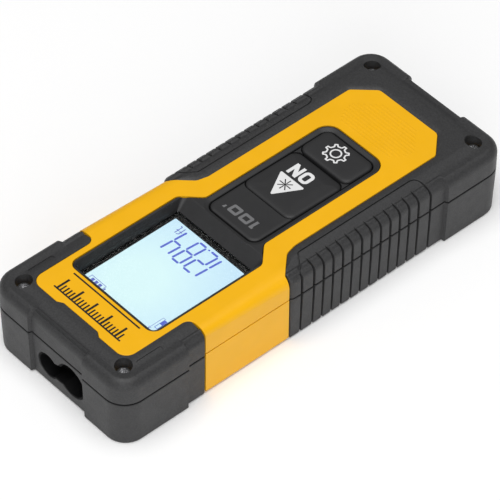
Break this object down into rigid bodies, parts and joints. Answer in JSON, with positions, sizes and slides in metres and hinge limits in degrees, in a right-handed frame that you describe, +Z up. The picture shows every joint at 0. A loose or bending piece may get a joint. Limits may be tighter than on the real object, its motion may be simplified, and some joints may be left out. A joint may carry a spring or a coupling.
{
  "type": "laser distance meter",
  "caption": "Pocket laser distance meter: yellow two-part housing in dark rubber bumpers with ribbed grips, recessed display, range pad and two keys, and a front laser aperture.",
  "frame": {"origin": "middle of the footprint on the plane the four corner feet stand on, under the middle of the body", "axes": "+Y is the way the laser points (front), +Z is up out of the display, +X is the right of a user who reads the display"},
  "size_m": [0.0444, 0.1128, 0.0197],
  "materials": {
    "housing_yellow": "satin moulded plastic",
    "grip_rubber": "fine matt grain",
    "dark_plastic": "fine satin grain",
    "key_grey": "matt",
    "window_clear": "polished clear",
    "lcd_glass": "lit display",
    "backlight_white": "diffusing",
    "connector_rubber": "matt",
    "board_green": "solder mask",
    "chip_black": "moulded",
    "steel": "bright",
    "dark_screw_steel": "blackened",
    "brass": "bright",
    "lens_glass": "coated",
    "optics_black": "matt black",
    "cell_jacket": "printed sleeve",
    "nickel": "plated",
    "label_white": "blank label"
  },
  "bodies": {
    "housing": {"top_housing": "housing_yellow", "bottom_housing": "housing_yellow", "front_bumper_top": "grip_rubber", "front_bumper_bottom": "grip_rubber", "rear_grip_top": "grip_rubber", "rear_grip_bottom": "grip_rubber", "display_bezel": "dark_plastic", "keypad_frame": "key_grey", "display_window": "window_clear", "lcd_panel": "lcd_glass", "lcd_backlight": "backlight_white", "lcd_connector": "connector_rubber", "on_dome_switch": "steel", "settings_dome_switch": "steel", "main_pcb": "board_green", "processor_chip": "chip_black", "buzzer": "chip_black", "pcb_screw_1": "steel", "pcb_screw_2": "steel", "pcb_screw_3": "steel", "pcb_screw_4": "steel", "optics_screw_1": "steel", "optics_screw_2": "steel", "housing_screw_front_left": "dark_screw_steel", "housing_screw_front_right": "dark_screw_steel", "housing_screw_rear_left": "dark_screw_steel", "housing_screw_rear_right": "dark_screw_steel", "optical_frame": "optics_black", "receiver_lens": "lens_glass", "collimator_lens": "lens_glass", "laser_diode": "brass", "sensor_board": "board_green", "receiver_sensor": "chip_black", "battery_left": "cell_jacket", "battery_right": "cell_jacket", "positive_contact": "nickel", "negative_contact": "nickel", "bridge_contact": "nickel", "negative_spring": "steel", "bridge_spring": "steel", "rating_label": "label_white"},
    "on_key": {"on_key": "key_grey"},
    "settings_key": {"settings_key": "key_grey"},
    "battery_door": {"battery_door": "dark_plastic"}
  },
  "joints": [
    {"name": "on_key_press", "type": "slide", "parent": "housing", "child": "on_key", "axis": [0, 0, -1], "range_m": [0, 0.0005], "stiffness_N_per_m": 3000, "springref_m": -0.0001},
    {"name": "settings_key_press", "type": "slide", "parent": "housing", "child": "settings_key", "axis": [0, 0, -1], "range_m": [0, 0.0005], "stiffness_N_per_m": 3000, "springref_m": -0.0001},
    {"name": "battery_door_hinge", "type": "hinge", "parent": "housing", "child": "battery_door", "pos_m": [0, 0.00085, 0.00135], "axis": [1, 0, 0], "range_deg": [0, 95]}
  ]
}
